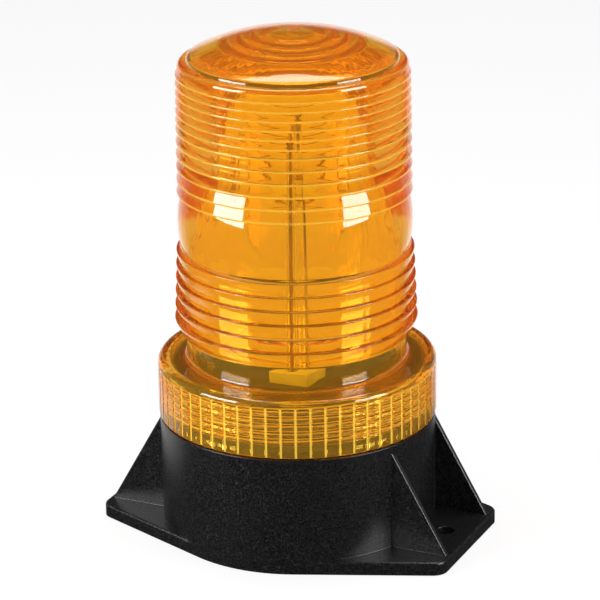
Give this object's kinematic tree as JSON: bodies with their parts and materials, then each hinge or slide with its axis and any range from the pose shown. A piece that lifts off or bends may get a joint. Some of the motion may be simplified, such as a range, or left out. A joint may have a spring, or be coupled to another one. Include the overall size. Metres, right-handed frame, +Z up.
{
  "type": "screw-lens strobe beacon",
  "caption": "Amber screw-lens warning beacon: ribbed drum lens over a xenon flash tube, on a black round base with two gusseted bolt-down ears.",
  "frame": {"origin": "centre of the flange's underside, on the lens axis", "axes": "+Z up along the lens axis, X along the two bolt ears"},
  "size_m": [0.1336, 0.099, 0.1822],
  "materials": {
    "housing_plastic": "fine spark-eroded grain, black glass-filled nylon",
    "amber_lens": "clear amber polycarbonate, polished",
    "seal_rubber": "moulded, matt black",
    "grommet_rubber": "moulded, matt black",
    "holder_plastic": "white heat-resistant plastic",
    "tube_glass": "clear borosilicate",
    "sleeve_glass": "clear",
    "electrode_metal": "sintered tungsten and nickel",
    "lead_metal": "oxidised nickel wire",
    "zinc_steel": "zinc plated",
    "nickel_plate": "nickel plated",
    "board_laminate": "glass-epoxy board with solder mask",
    "wire_insulation": "silicone wire insulation",
    "capacitor_sleeve": "shrink sleeve over aluminium",
    "ferrite": "sintered ferrite, matt",
    "bobbin_plastic": "black moulded bobbin",
    "copper_enamel": "enamelled copper under clear tape",
    "film_epoxy": "dipped epoxy",
    "sink_aluminium": "extruded, plain",
    "package_epoxy": "moulded epoxy",
    "resistor_lacquer": "lacquer",
    "terminal_plastic": "moulded nylon"
  },
  "bodies": {
    "base": {"base_housing": "housing_plastic", "lamp_tray": "housing_plastic", "tray_screws": "zinc_steel", "tube_holder": "holder_plastic", "flash_tube": "tube_glass", "lead_sleeve": "sleeve_glass", "cathode": "electrode_metal", "anode": "electrode_metal", "return_lead": "lead_metal", "trigger_wire": "lead_metal", "circuit_board": "board_laminate", "board_screws": "zinc_steel", "tube_leads": "wire_insulation", "storage_capacitor": "capacitor_sleeve", "transformer_core": "ferrite", "transformer_bobbin": "bobbin_plastic", "transformer_winding": "copper_enamel", "trigger_coil": "bobbin_plastic", "trigger_capacitor": "film_epoxy", "heat_sink": "sink_aluminium", "power_transistor": "package_epoxy", "transistor_screw": "zinc_steel", "thyristor": "package_epoxy", "diodes": "package_epoxy", "resistors": "resistor_lacquer", "fuse_tube": "sleeve_glass", "fuse_caps": "nickel_plate", "fuse_clips": "nickel_plate", "terminal_block": "terminal_plastic", "terminal_screws": "nickel_plate", "cable_grommet": "grommet_rubber"},
    "seal": {"lens_seal": "seal_rubber"},
    "lens": {"lens": "amber_lens"}
  },
  "joints": [
    {"name": "lens_rise", "type": "slide", "parent": "base", "child": "seal", "axis": [0, 0, 1], "range_m": [0, 0.0122]},
    {"name": "lens_turn", "type": "hinge", "parent": "seal", "child": "lens", "pos_m": [0, 0, 0.0436], "axis": [0, 0, 1], "range_deg": [0, 1584]}
  ],
  "couplings": [
    {"joint": "lens_rise", "follows": "lens_turn", "m_per_rad": 0.00043768}
  ]
}
